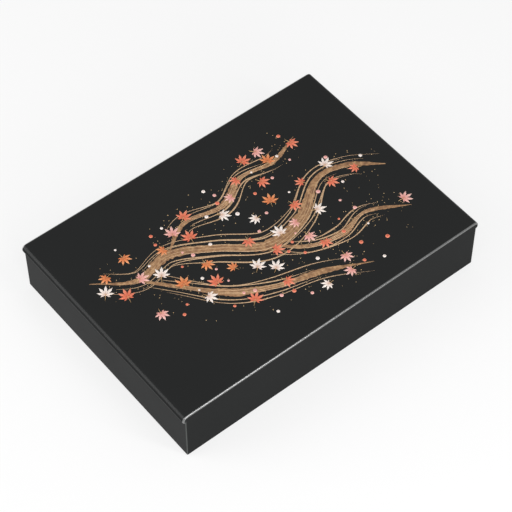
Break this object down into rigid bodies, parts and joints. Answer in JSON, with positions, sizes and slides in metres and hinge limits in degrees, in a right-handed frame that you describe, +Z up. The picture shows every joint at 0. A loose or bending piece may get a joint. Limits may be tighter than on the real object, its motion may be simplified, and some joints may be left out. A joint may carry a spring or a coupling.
{
  "type": "lacquer document box",
  "caption": "Flat rectangular lacquered box for papers: a shallow tray under a lift-off lid whose skirts reach the table and whose short ends roll over into a finger lip.",
  "frame": {"origin": "on the table, under the middle of the closed box", "axes": "+X along the long sides, +Y towards the back long side, +Z up, the way the lid lifts off"},
  "size_m": [0.341, 0.24, 0.06],
  "materials": {
    "lid_lacquer": "black gloss lacquer over wood, with gold and coloured raised decoration on the top",
    "tray_lacquer": "black satin lacquer over wood, with fine gold dust inside"
  },
  "bodies": {
    "tray": {"tray_bottom": "tray_lacquer", "tray_front_wall": "tray_lacquer", "tray_back_wall": "tray_lacquer", "tray_left_wall": "tray_lacquer", "tray_right_wall": "tray_lacquer"},
    "lid": {"lid_panel": "lid_lacquer", "lid_left_end_rail": "lid_lacquer", "lid_right_end_rail": "lid_lacquer", "lid_front_skirt": "lid_lacquer", "lid_back_skirt": "lid_lacquer", "lid_left_skirt": "lid_lacquer", "lid_right_skirt": "lid_lacquer"}
  },
  "joints": [
    {"name": "lid_lift", "type": "slide", "parent": "tray", "child": "lid", "axis": [0, 0, 1], "range_m": [0, 0.12]}
  ]
}
